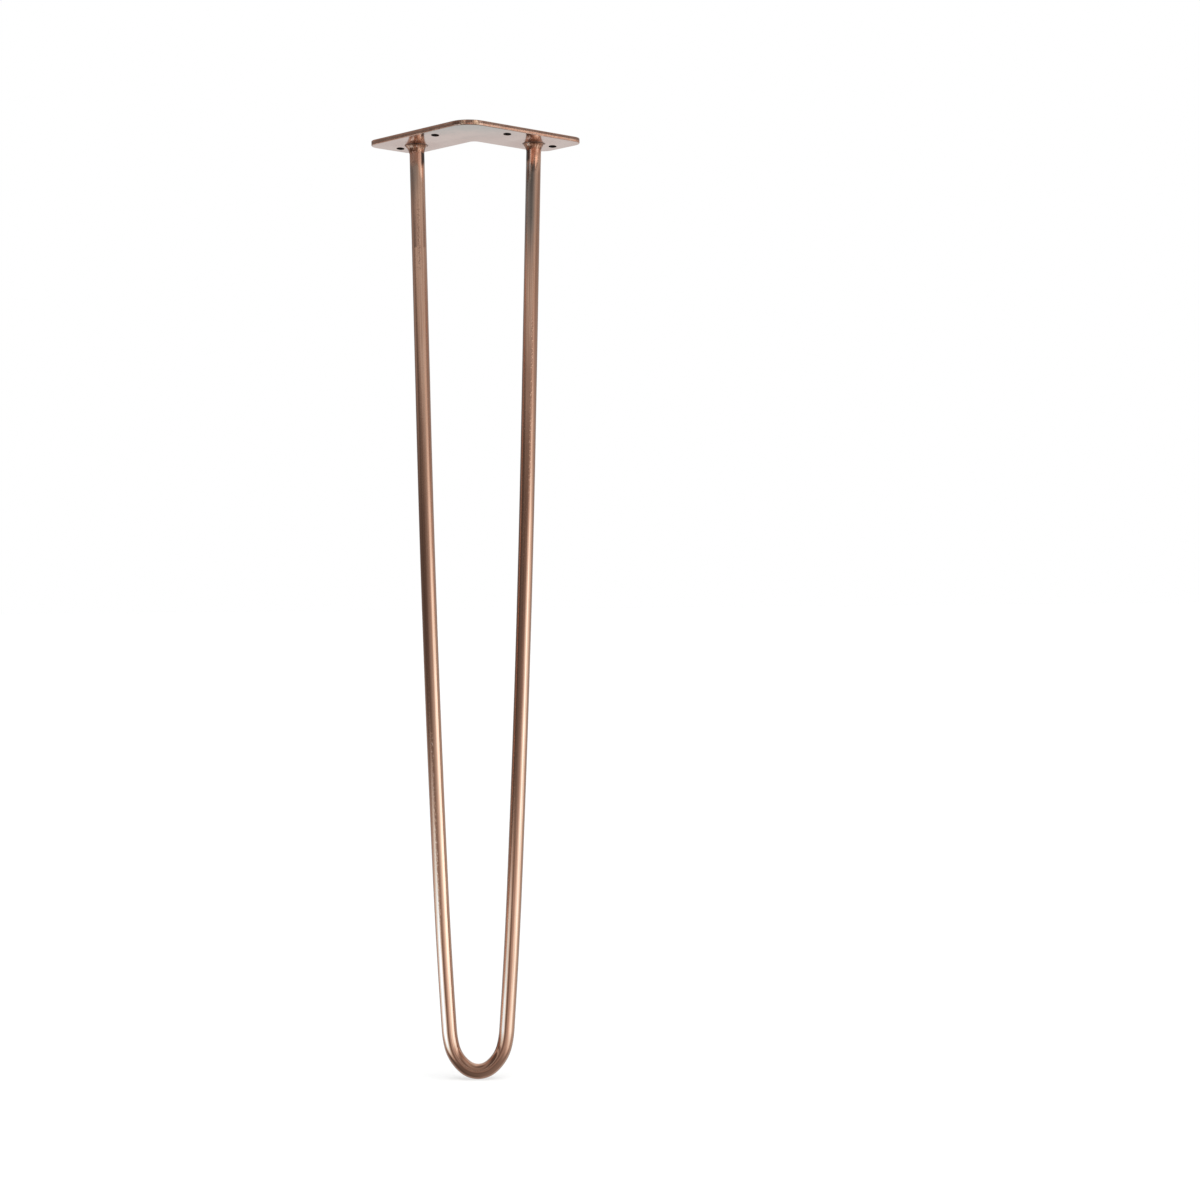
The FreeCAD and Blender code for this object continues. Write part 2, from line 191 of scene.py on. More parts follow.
# ---------------------------------------------------------------------------------------------
# stage: pale floor, white surround, a dim room behind the camera with two soft boxes and a ceiling
# ---------------------------------------------------------------------------------------------
def make_world():
    world = bpy.data.worlds.new("studio")
    scene.world = world
    world.use_nodes = True
    t = Tree(world.node_tree)
    deg = math.radians
    direction = t.new("ShaderNodeTexCoord").outputs["Generated"]
    xyz = t.new("ShaderNodeSeparateXYZ")
    t.put(xyz.inputs[0], direction)
    x, y, z = xyz.outputs
    az = t.math("ARCTAN2", x, t.math("MULTIPLY", y, -1.0))
    el = t.math("ARCSINE", z)
    side = t.math("ABSOLUTE", az)

    turn = t.math("SINE", az)                      # -1 at the left, +1 at the right

    def bell(centre, width_before, width_after):
        off = t.math("SUBTRACT", az, deg(centre))
        before = t.math("DIVIDE", t.math("MINIMUM", off, 0.0), deg(width_before))
        after = t.math("DIVIDE", t.math("MAXIMUM", off, 0.0), deg(width_after))
        return t.math("EXPONENT", t.mul(t.add(t.mul(before, before), t.mul(after, after)), -1.0))

    left = t.ramp(turn, -0.35, 0.35, 1.0, 0.0)

    room = t.add(t.mul(turn, 0.074), 0.160)
    strip = t.mul(t.ramp(el, deg(12.0), deg(16.2)), t.ramp(el, deg(17.2), deg(21.2), 1.0, 0.0),
                  t.ramp(az, deg(5), deg(50), 0.43, 0.31))
    under = t.ramp(el, deg(-12.8), deg(1.2))
    wide = t.mul(bell(51, 44, 44), t.ramp(el, deg(4.7), deg(13.6), 0.62, 0.0), under)
    back = t.ramp(side, deg(80), deg(129))
    wall = t.mul(back, t.add(t.mul(left, -0.06), t.ramp(el, deg(6), deg(14), 0.09, 0.18)))
    low = t.mul(back, t.ramp(side, deg(125), deg(155), 1.0, 0.3), t.ramp(el, deg(-9.0), deg(3.0), 1.0, 0.0),
                t.add(t.mul(left, 0.19), 0.22))
    glow = t.mul(t.ramp(az, deg(-132), deg(-112)), t.ramp(az, deg(-95), deg(-75), 1.0, 0.0),
                 t.ramp(el, deg(5), deg(8)), t.ramp(el, deg(12), deg(15), 0.16, 0.0))
    above = t.add(t.mul(t.ramp(el, deg(30), deg(44), 0.0, 0.19), t.ramp(el, deg(52), deg(66), 1.0, 0.25)),
                  t.mul(t.ramp(side, deg(100), deg(150)), t.ramp(el, deg(20), deg(40), 0.0, 0.10)))
    light = t.mul(t.add(room, strip, wide, wall, low, glow, above), 0.96)
    # the white sweep behind the leg
    sweep = t.mul(t.ramp(side, deg(146), deg(171)), t.ramp(el, deg(-60), deg(-30)),
                  t.ramp(el, deg(-10), deg(-3), 0.29, 0.50), t.ramp(el, deg(20), deg(45), 1.0, 0.25))
    studio = t.new("ShaderNodeBackground")
    t.put(studio.inputs["Color"], t.vec("ADD", daylight(t, light),
                                        t.vec("SCALE", (1.0, 0.99, 0.98), scale=sweep)))
    t.put(studio.inputs["Strength"], 1.0)
    seen = t.new("ShaderNodeBackground")
    t.put(seen.inputs["Color"], rgb(1.0, 1.0, 1.0))
    t.put(seen.inputs["Strength"], 1.0)
    path = t.new("ShaderNodeLightPath")
    pick = t.new("ShaderNodeMixShader")
    t.put(pick.inputs[0], path.outputs["Is Camera Ray"])
    t.put(pick.inputs[1], studio.outputs[0])
    t.put(pick.inputs[2], seen.outputs[0])
    out = t.new("ShaderNodeOutputWorld")
    t.put(out.inputs[0], pick.outputs[0])
    world.cycles.sampling_method = "MANUAL"
    world.cycles.sample_map_resolution = 1024


make_world()


def make_floor():
    size = 40.0
    mesh = bpy.data.meshes.new("floor")
    z = -HEIGHT * MM
    mesh.from_pydata([(-size, -size, z), (size, -size, z), (size, size, z), (-size, size, z)], [],
                     [(0, 1, 2, 3)])
    obj = bpy.data.objects.new("floor", mesh)
    scene.collection.objects.link(obj)
    mat = bpy.data.materials.new("pale_floor")
    mat.use_nodes = True
    t = Tree(mat.node_tree)
    # a brightly lit sweep: only a part of its light can be shaded by the leg
    pale = t.new("ShaderNodeBsdfDiffuse")
    t.put(pale.inputs["Color"], rgb(0.27, 0.268, 0.265))
    lit = t.new("ShaderNodeEmission")
    t.put(lit.inputs["Color"], rgb(1.0, 0.998, 0.995))
    t.put(lit.inputs["Strength"], 0.70)
    both = t.new("ShaderNodeAddShader")
    t.put(both.inputs[0], pale.outputs[0])
    t.put(both.inputs[1], lit.outputs[0])
    clear = t.new("ShaderNodeBsdfTransparent")
    under = t.new("ShaderNodeNewGeometry").outputs["Backfacing"]
    pick = t.new("ShaderNodeMixShader")
    t.put(pick.inputs[0], under)
    t.put(pick.inputs[1], both.outputs[0])
    t.put(pick.inputs[2], clear.outputs[0])
    out = t.new("ShaderNodeOutputMaterial")
    t.put(out.inputs[0], pick.outputs[0])
    mesh.materials.append(mat)
    obj.visible_glossy = False     # the metal mirrors the studio around it, which has its own floor
    return obj


floor = make_floor()


def make_softbox(name, turn, distance, paint, corners=((-7.0, -3.0), (5.0, -3.0), (5.0, 1.0), (-7.0, 1.0)),
                 place=None, tint=daylight):
    """A tall glowing sheet beside the camera. Only the metal's reflections see it."""
    a = math.radians(turn)
    ahead = Vector((math.sin(a), -math.cos(a), 0.0))
    along = Vector((math.cos(a), math.sin(a), 0.0))
    mesh = bpy.data.meshes.new(name)
    mesh.from_pydata([(u, 0.0, z) for u, z in corners], [], [(0, 1, 2, 3)])
    obj = bpy.data.objects.new(name, mesh)
    scene.collection.objects.link(obj)
    obj.matrix_world = place or Matrix.Translation(ahead * distance) @ Matrix(
        (along, -ahead, Vector((0.0, 0.0, 1.0)))).transposed().to_4x4()
    mat = bpy.data.materials.new(name)
    mat.use_nodes = True
    t = Tree(mat.node_tree)
    xyz = t.new("ShaderNodeSeparateXYZ")
    t.put(xyz.inputs[0], t.new("ShaderNodeTexCoord").outputs["Object"])
    glow = t.new("ShaderNodeEmission")
    t.put(glow.inputs["Color"], tint(t, paint(t, xyz.outputs[0], xyz.outputs[2])))
    t.put(glow.inputs["Strength"], 1.0)
    clear = t.new("ShaderNodeBsdfTransparent")
    both = t.new("ShaderNodeAddShader")
    t.put(both.inputs[0], glow.outputs[0])
    t.put(both.inputs[1], clear.outputs[0])
    out = t.new("ShaderNodeOutputMaterial")
    t.put(out.inputs[0], both.outputs[0])
    mesh.materials.append(mat)
    obj.visible_camera = False
    obj.visible_diffuse = False
    obj.visible_shadow = False
    return obj


def plain_light(t, level):
    n = t.new("ShaderNodeCombineColor")
    for socket, part in zip(n.inputs, (1.0, 0.96, 0.92)):
        t.put(socket, t.mul(level, part))
    return n.outputs[0]


def left_glow(t, u, z):
    top = t.math("SUBTRACT", z, t.mul(t.math("MINIMUM", u, 0.0), 0.198))
    return t.mul(t.ramp(u, -2.58, 0.42), t.ramp(u, -0.1, 1.32, 1.0, 0.0),
                 t.ramp(top, -0.758, -0.351, 2.45, 0.0), t.ramp(z, -1.425, -0.825))


def right_glow(t, u, z):
    top = t.math("ADD", z, t.mul(u, 0.166))
    core = t.mul(t.ramp(u, -1.72, 0.62), t.ramp(u, -0.21, 1.89, 1.0, 0.0),
                 t.ramp(top, -0.277, 0.596, 1.42, 0.0), t.ramp(z, -2.2, -0.66))
    halo = t.mul(t.ramp(u, -6.0, -3.0), t.ramp(u, 0.8, 2.9, 1.0, 0.0),
                 t.ramp(z, -0.60, -0.10, 0.17, 0.0), t.ramp(z, -1.5, -0.9))
    return t.add(core, halo)


def high_glow(t, u, z):
    return t.mul(t.ramp(t.math("ABSOLUTE", u), 0.22, 0.42, 1.0, 0.0), t.ramp(z, -0.31, -0.22),
                 t.ramp(z, 0.20, 0.50, 1.75, 0.0))


def make_low_card():
    """A card lying in front of the leg and lit from above, as the undersides of the welds mirror it."""
    mesh = bpy.data.meshes.new("low_card")
    mesh.from_pydata([(-0.5, -1.1, 0.0), (0.5, -1.1, 0.0), (0.5, -0.35, 0.0), (-0.5, -0.35, 0.0)], [],
                     [(0, 1, 2, 3)])
    obj = bpy.data.objects.new("low_card", mesh)
    scene.collection.objects.link(obj)
    obj.matrix_world = Matrix.Translation(Vector((0.0, 0.0, -0.35)))
    mat = bpy.data.materials.new("low_card")
    mat.use_nodes = True
    t = Tree(mat.node_tree)
    xyz = t.new("ShaderNodeSeparateXYZ")
    t.put(xyz.inputs[0], t.new("ShaderNodeTexCoord").outputs["Object"])
    x, y, z = xyz.outputs
    lamp = t.mul(t.ramp(y, -0.55, -0.42, 1.0, 0.0), t.ramp(y, -0.80, -0.62),
                 t.ramp(t.math("ABSOLUTE", x), 0.15, 0.45, 0.60, 0.0))
    below = t.new("ShaderNodeNewGeometry").outputs["Backfacing"]
    glow = t.new("ShaderNodeEmission")
    t.put(glow.inputs["Color"], rgb(1.0, 0.99, 0.97))
    t.put(glow.inputs["Strength"], t.mul(lamp, t.math("SUBTRACT", 1.0, below)))
    clear = t.new("ShaderNodeBsdfTransparent")
    both = t.new("ShaderNodeAddShader")
    t.put(both.inputs[0], glow.outputs[0])
    t.put(both.inputs[1], clear.outputs[0])
    out = t.new("ShaderNodeOutputMaterial")
    t.put(out.inputs[0], both.outputs[0])
    mesh.materials.append(mat)
    obj.visible_camera = False
    obj.visible_diffuse = False
    obj.visible_shadow = False


def make_lights():
    sun = bpy.data.lights.new("soft_overhead", "SUN")
    sun.energy = 3.3
    sun.angle = math.radians(60)
    obj = bpy.data.objects.new("soft_overhead", sun)
    obj.rotation_euler = (math.radians(14), math.radians(10), 0.0)
    obj.visible_glossy = False
    scene.collection.objects.link(obj)
    make_softbox("softbox_left", -60.0, 1.4, left_glow)
    make_softbox("softbox_right", 60.0, 2.2, right_glow)
    # a lamp high on the right for the welds, tilted so that the foot sees it edge on
    centre, foot = Vector((0.78, -0.45, 0.50)), Vector((0.0, -0.02, -0.69))
    rise = (centre - foot).normalized()
    along = Vector((0.5, 0.866, 0.0)).normalized()
    face = rise.cross(along).normalized()
    along = face.cross(rise)
    make_softbox("softbox_high", 60.0, 0.9, high_glow, [(-0.45, -0.35), (0.45, -0.35), (0.45, 0.55), (-0.45, 0.55)],
                 Matrix.Translation(centre) @ Matrix((along, face, rise)).transposed().to_4x4(),
                 plain_light)
    make_low_card()


make_lights()
scene.view_settings.view_transform = "Standard"
scene.view_settings.look = "None"
scene.view_settings.exposure = 0.0
scene.view_settings.gamma = 1.0


# ---------------------------------------------------------------------------------------------
# hairpin rod: the same axis as the construction model's, with a fine round section
# ---------------------------------------------------------------------------------------------
def half_axis():
    """(x, z, angle) from the plate's lower face down to the foot, in the plane of the U, with the
    length along the axis. The straight run and the first bow take up what is left."""
    def build(straight, bow, step=None):
        x, z, a = HALF, 0.0, LEAN
        rows, s = [], 0.0
        if step:
            n = max(2, int(round(straight / step(0.0))))
            rows += [(x - math.sin(a) * straight * i / n, z - math.cos(a) * straight * i / n, a,
                      straight * i / n) for i in range(n)]
        x, z, s = x - math.sin(a) * straight, z - math.cos(a) * straight, straight
        for radius, end in zip([bow] + TIGHT, ENDS):
            cx, cz = x - math.cos(a) * radius, z + math.sin(a) * radius
            if step:
                run = radius * (end - a)
                n = max(2, int(round(run / step(radius))))
                for i in range(n):
                    b = a + (end - a) * i / n
                    rows.append((cx + math.cos(b) * radius, cz - math.sin(b) * radius, b,
                                 s + run * i / n))
            s += radius * (end - a)
            a = end
            x, z = cx + math.cos(a) * radius, cz - math.sin(a) * radius
        if step:
            rows.append((x, z, a, s))
        return rows, (x, z)

    straight, bow = 207.0, 15900.0
    for _ in range(30):
        fx, fz = build(straight, bow)[1]
        fz += DROP
        ax, az = build(straight + 0.01, bow)[1]
        bx, bz = build(straight, bow + 1.0)[1]
        j11, j21 = (ax - fx) / 0.01, (az + DROP - fz) / 0.01
        j12, j22 = bx - fx, bz + DROP - fz
        det = j11 * j22 - j12 * j21
        straight -= (fx * j22 - fz * j12) / det
        bow -= (fz * j11 - fx * j21) / det
        if math.hypot(fx, fz) < 1e-9:
            break
    return build(straight, bow, step=lambda r: 2.0 if r == 0 or r > 1000 else 0.7)[0]


def to_row(x, out, z):
    """From the leaning plane of the U (x across, out of the plane backwards, z up) to the row frame."""
    return (x, BACK + out * math.cos(TILT) + z * math.sin(TILT),
            -THICK - out * math.sin(TILT) + z * math.cos(TILT))


def make_rod():
    right = half_axis()
    total = 2 * right[-1][3]
    # one list from the right end, round the foot, to the left end; angles keep turning
    axis = [(x, z, a, s) for x, z, a, s in right]
    axis += [(-x, z, math.pi - a, total - s) for x, z, a, s in reversed(right[:-1])]
    around = 64
    verts, coord, way = [], [], []
    for i, (x, z, a, s) in enumerate(axis):
        # a is measured from straight down, turning towards -X: the direction of travel
        tx, tz = -math.sin(a), -math.cos(a)
        nx, nz = math.cos(a), -math.sin(a)
        # the wire flattens a little where it is bent hardest, and swells across the bend
        bend = math.exp(-((min(a, math.pi - a) - math.radians(34)) / math.radians(17)) ** 2)
        in_plane, across = 1.0 - 0.015 * bend, 1.0 + 0.006 * bend
        end = i in (0, len(axis) - 1)
        for k in range(around):
            th = 2 * math.pi * k / around
            c, sn = math.cos(th), math.sin(th)
            u = s * 0.012
            wave = 0.030 * noise.noise(Vector((c * 0.7 + 3.1, sn * 0.7, u))) \
                + 0.012 * noise.noise(Vector((c * 1.6, sn * 1.6 + 7.7, u * 5.0)))
            r = ROD_R - 0.03 + (0.0 if end else min(wave, 0.025))
            px, pz = x + nx * c * r * in_plane, z + nz * c * r * in_plane
            py = sn * r * across
            if end:
                # cut off in the plane of the plate's lower face
                height = -py * math.sin(TILT) + pz * math.cos(TILT)
                go = -height / (tz * math.cos(TILT))
                px, pz = px + tx * go, pz + tz * go
            verts.append(Vector(to_row(px, py, pz)) * MM)
            coord.append((c * ROD_R, sn * ROD_R, s))
            way.append(Vector(to_row(tx, 0.0, tz)) - Vector(to_row(0.0, 0.0, 0.0)))
    n = len(axis)
    faces = []
    for i in range(n - 1):
        for k in range(around):
            a_, b_ = i * around + k, i * around + (k + 1) % around
            faces.append((a_, a_ + around, b_ + around, b_))
    faces.append(tuple(range(around)))
    faces.append(tuple((n - 1) * around + k for k in reversed(range(around))))
    mesh = bpy.data.meshes.new("hairpin_rod_finish")
    mesh.from_pydata([tuple(v) for v in verts], [], faces)
    at = mesh.attributes.new("rodspace", "FLOAT_VECTOR", "POINT")
    at.data.foreach_set("vector", np.array(coord, np.float32).ravel())
    at = mesh.attributes.new("roddir", "FLOAT_VECTOR", "POINT")
    at.data.foreach_set("vector", np.array([tuple(w) for w in way], np.float32).ravel())
    mesh.validate()
    for p in mesh.polygons:
        p.use_smooth = len(p.vertices) == 4
    obj = bpy.data.objects.new("hairpin_rod_finish", mesh)
    scene.collection.objects.link(obj)
    return obj, total


rod, rod_length = make_rod()


# ---------------------------------------------------------------------------------------------
# weld beads: a hand-laid fillet, in overlapping pools of uneven length round the rod
# ---------------------------------------------------------------------------------------------
def make_weld(side, seed):
    """side is -1 for the left end and +1 for the right."""
    rng = np.random.default_rng(seed)
    count = 13
    steps = rng.uniform(0.75, 1.3, count)
    edges = np.concatenate([[0.0], np.cumsum(steps)]) / steps.sum() * 2 * math.pi
    reach = rng.uniform(-0.40, 0.40, count)
    rise = rng.uniform(-0.60, 0.60, count)
    wide, tall = (2.8, 6.7) if side < 0 else (2.4, 6.0)
    puff = rng.uniform(0.75, 1.25, count)
    around, across = 240, 30
    base = Vector((side * HALF, BACK, -THICK))
    axis = Vector((-side * math.sin(LEAN), -math.cos(LEAN) * math.sin(TILT),
                   -math.cos(LEAN) * math.cos(TILT))).normalized()
    ex = Vector((1.0, 0.0, 0.0))
    ex = (ex - axis * ex.dot(axis)).normalized()
    ey = axis.cross(ex)
    if ey.y < 0:
        ey = -ey

    def ease(v):
        v = min(1.0, max(0.0, v))
        return v * v * (3 - 2 * v)

    def pool(ph):
        """index of the pool at this angle, how far into it, and the blend with the one before"""
        ph %= 2 * math.pi
        i = int(np.searchsorted(edges, ph, side="right") - 1)
        i = min(max(i, 0), count - 1)
        f = (ph - edges[i]) / (edges[i + 1] - edges[i])
        return i, f

    verts = []
    for j in range(around):
        phi = 2 * math.pi * j / around
        for k in range(across):
            u = k / (across - 1)
            # the pools are crescents: their edges trail back at the toes of the bead
            lag = 0.20 * (2 * u - 1) ** 2
            i, f = pool(phi + lag)
            back = (i - 1) % count
            mixf = ease(f / 0.35)
            w = wide * (1.0 - 0.16 * math.cos(phi)) + reach[back] * (1 - mixf) + reach[i] * mixf
            h = tall + rise[back] * (1 - mixf) + rise[i] * mixf
            swell = puff[back] * (1 - mixf) + puff[i] * mixf
            # each pool rises quickly over the edge of the last one and falls slowly
            crest = ease(f / 0.18) * (1.0 - 0.75 * f)
            lip = Vector((ROD_R - 0.05, h))
            toe = Vector((ROD_R + w, 0.0))
            p = lip.lerp(toe, u)
            across_dir = (toe - lip).normalized()
            outward = Vector((-across_dir.y, across_dir.x))
            if outward.x < 0:
                outward = -outward
            profile = math.sin(math.pi * u)
            lumps = noise.noise(Vector((math.cos(phi) * 2.2, math.sin(phi) * 2.2, u * 1.5 + seed)))
            bulge = profile * (-0.85 + 0.28 * swell * crest + 0.10 * lumps)
            p = p + outward * bulge
            r_, depth = max(p.x, ROD_R - 0.3), p.y
            point = base + (ex * math.cos(phi) + ey * math.sin(phi)) * r_ + axis * depth
            if k == across - 1:
                # the toe lies on the plate
                point += axis * ((-THICK - point.z) / axis.z)
            point.z = min(point.z, -THICK)
            verts.append(point * MM)
    # a hidden rim just inside the rod closes the bead
    for j in range(around):
        phi = 2 * math.pi * j / around
        point = base + (ex * math.cos(phi) + ey * math.sin(phi)) * (ROD_R - 0.6)
        point += axis * ((-THICK - point.z) / axis.z)
        verts.append(point * MM)
    faces = []
    for j in range(around):
        jn = (j + 1) % around
        for k in range(across - 1):
            faces.append((j * across + k, jn * across + k, jn * across + k + 1, j * across + k + 1))
        rim, rim_n = around * across + j, around * across + jn
        faces.append((j * across + across - 1, jn * across + across - 1, rim_n, rim))
        faces.append((rim, rim_n, jn * across, j * across))
    name = "weld_left_bead" if side < 0 else "weld_right_bead"
    mesh = bpy.data.meshes.new(name)
    mesh.from_pydata([tuple(v) for v in verts], [], faces)
    mesh.validate()
    for p in mesh.polygons:
        p.use_smooth = True
    obj = bpy.data.objects.new(name, mesh)
    scene.collection.objects.link(obj)
    bpy.context.view_layer.update()
    import bmesh
    bm = bmesh.new()
    bm.from_mesh(mesh)
    bmesh.ops.recalc_face_normals(bm, faces=bm.faces)
    bm.to_mesh(mesh)
    bm.free()
    return obj


weld_l = make_weld(-1, 11)
weld_r = make_weld(1, 29)


# ---------------------------------------------------------------------------------------------
# materials
# ---------------------------------------------------------------------------------------------
def new_material(name):
    mat = bpy.data.materials.new(name)
    mat.use_nodes = True
    return mat, Tree(mat.node_tree)


def copper(t, colour, roughness, normal, coat_rough=0.06, coat=None, metal=None):
    """Copper plating under a clear lacquer."""
    b = t.new("ShaderNodeBsdfPrincipled")
    t.put(b.inputs["Base Color"], colour)
    b.inputs["Metallic"].default_value = 1.0
    t.put(b.inputs["Metallic"], metal)
    b.inputs["Specular IOR Level"].default_value = 0.0     # only where the painted shade in the holes and the toe lines take the metal away
    t.put(b.inputs["Roughness"], roughness)
    t.put(b.inputs["Normal"], normal)
    b.inputs["Coat Weight"].default_value = 1.0
    t.put(b.inputs["Coat Weight"], coat)
    b.inputs["Coat Roughness"].default_value = coat_rough
    b.inputs["Coat IOR"].default_value = 1.5
    out = t.new("ShaderNodeOutputMaterial")
    t.put(out.inputs[0], b.outputs[0])


def rod_material():
    mat, t = new_material("antiqued_copper_rod")
    space = t.new("ShaderNodeAttribute", attribute_name="rodspace").outputs["Vector"]
    part = t.new("ShaderNodeSeparateXYZ")
    t.put(part.inputs[0], space)
    outer, behind, along = part.outputs        # mm; along runs from the right end round to the left
    fine = t.noise(t.scaled(space, 2.4, 2.4, 0.030), detail=3.0, rough=0.6)
    drawn = t.noise(t.scaled(space, 0.95, 0.95, 0.0045, (2.0, 0.0, 3.0)), detail=2.0, rough=0.55)
    broad = t.noise(t.scaled(space, 0.45, 0.45, 0.006, (4.0, 0.0, 0.0)), detail=2.0)
    cloud = t.noise(t.scaled(space, 0.10, 0.10, 0.020, (0.0, 9.0, 0.0)), detail=3.0)
    pits = t.noise(t.scaled(space, 1.1, 1.1, 0.8, (0.0, 0.0, 5.0)), detail=2.0)
    tone = t.ramp(t.add(t.mul(fine, 0.25), t.mul(drawn, 0.50), t.mul(broad, 0.15), t.mul(cloud, 0.10)),
                  0.42, 0.57)
    colour = t.mix(tone, rgb(0.74, 0.355, 0.225), rgb(0.99, 0.525, 0.35))
    # dull grey patches below the welds: a long one on the right rod, on the side that faces the other
    # rod, and a short one on the left rod, which is painted shade laid over a reflection
    ragged = t.mul(t.math("SUBTRACT", broad, 0.5), 9.0)
    run = t.add(along, ragged)
    end = t.math("SUBTRACT", rod_length, run)
    long_grey_patch = t.mul(t.ramp(outer, 3.4, -0.4), t.ramp(run, 14.0, 18.0), t.ramp(run, 52.0, 112.0, 1.0, 0.0))
    short_painted_shade = t.mul(t.ramp(end, 14.0, 18.0), t.ramp(end, 22.0, 56.0, 0.70, 0.0), t.ramp(outer, -3.5, 1.5))
    grey_and_painted_shade = t.math("MAXIMUM", long_grey_patch, short_painted_shade)
    # painted shade on one shank and painted light on the other, a quarter of the way down
    painted_shade_patch = t.mul(t.ramp(along, 130.0, 190.0), t.ramp(along, 250.0, 320.0, 0.30, 0.0))
    colour = t.mix(painted_shade_patch, colour, rgb(0.52, 0.235, 0.145))
    # painted light: a lighter patch on the left shank
    light = t.mul(t.ramp(along, 1120.0, 1180.0), t.ramp(along, 1300.0, 1360.0, 0.90, 0.0),
                  t.ramp(outer, -1.0, 2.5))
    colour = t.mix(light, colour, rgb(1.0, 0.53, 0.35))
    # the grey patches below the welds; the short one on the left rod is painted shade
    colour = t.mix(t.mul(grey_and_painted_shade, 0.9), colour, rgb(0.28, 0.215, 0.18))
    # bare bright copper just under each weld, with near-black painted shade on the sides that face each other
    bare = t.add(t.mul(t.ramp(run, 11.0, 20.0, 1.0, 0.0), t.ramp(outer, -3.0, -1.0)),
                 t.mul(t.ramp(end, 11.0, 20.0, 1.0, 0.0), t.ramp(outer, -4.0, -2.4)))
    # painted shade on the inner sides, just below the plate
    scale = t.add(t.mul(t.ramp(run, 13.0, 19.0, 1.0, 0.0), t.ramp(outer, -1.4, -3.0)),
                  t.mul(t.ramp(end, 13.0, 19.0, 1.0, 0.0), t.ramp(outer, -2.6, -4.2)))
    colour = t.mix(t.mul(bare, t.ramp(along, 200.0, 1200.0, 0.60, 0.80)), colour, rgb(0.98, 0.52, 0.36))
    colour = t.mix(t.mul(scale, 0.95), colour, rgb(0.06, 0.038, 0.03))
    roughness = t.ramp(t.add(t.mul(fine, 0.5), t.mul(cloud, 0.5)), 0.30, 0.70, 0.14, 0.075)
    roughness = t.add(roughness, t.mul(bare, t.ramp(along, 200.0, 1200.0, 0.14, 0.38)))
    # the left rod is a little softer in its lower half, and painted lighter there: painted light for a wider
    # highlight
    soft_and_painted_light = t.mul(t.ramp(along, 780.0, 860.0), t.ramp(along, 960.0, 1060.0, 1.0, 0.0))
    roughness = t.math("ADD", roughness, t.mul(soft_and_painted_light, 0.05))
    colour = t.mix(t.mul(soft_and_painted_light, 0.6), colour, rgb(1.0, 0.53, 0.35))
    dents = t.mul(t.ramp(pits, 0.60, 0.72), t.ramp(cloud, 0.45, 0.62))
    normal = t.bump(t.add(t.mul(fine, 0.2), drawn), 0.5, 0.00020)
    normal = t.bump(dents, 0.35, 0.00003, normal)
    # a bump that shades the rod as if it were ground back a little under the right weld, tapering up to it
    normal = t.bump(t.ramp(along, -2.0, 24.0, 0.0, 1.0), 1.0, 0.00085, normal)
    # rows of small chatter marks on the front
    chatter = t.noise(t.scaled(space, 0.9, 0.9, 0.42, (3.0, 1.0, 0.0)), detail=1.0)
    front = t.ramp(behind, 0.0, -2.0)
    row = t.add(t.mul(t.ramp(outer, 0.6, 1.3), t.ramp(outer, 2.2, 2.9, 1.0, 0.0),
                      t.ramp(along, 125.0, 150.0), t.ramp(along, 240.0, 290.0, 1.0, 0.0)),
                t.mul(t.ramp(outer, -1.8, -1.1), t.ramp(outer, 0.0, 0.7, 1.0, 0.0),
                      t.ramp(end, 40.0, 55.0), t.ramp(end, 90.0, 105.0, 1.0, 0.0)),
                t.mul(t.ramp(outer, 0.2, 0.9), t.ramp(outer, 1.6, 2.3, 1.0, 0.0),
                      t.ramp(along, 820.0, 850.0), t.ramp(along, 960.0, 1000.0, 1.0, 0.0)))
    normal = t.bump(t.mul(t.ramp(chatter, 0.50, 0.62), row, front), 0.6, 0.00010, normal)
    # and a bump that shades the left rod as if it swelled a little below its weld
    normal = t.bump(t.ramp(end, 4.0, 80.0, 1.0, 0.0, smooth=False), 1.0, 0.0020, normal)
    coat = t.mul(t.ramp(bare, 0.0, 1.0, 1.0, 0.5), t.ramp(scale, 0.0, 1.0, 1.0, 0.2))
    copper(t, colour, roughness, normal, coat=coat)
    return mat


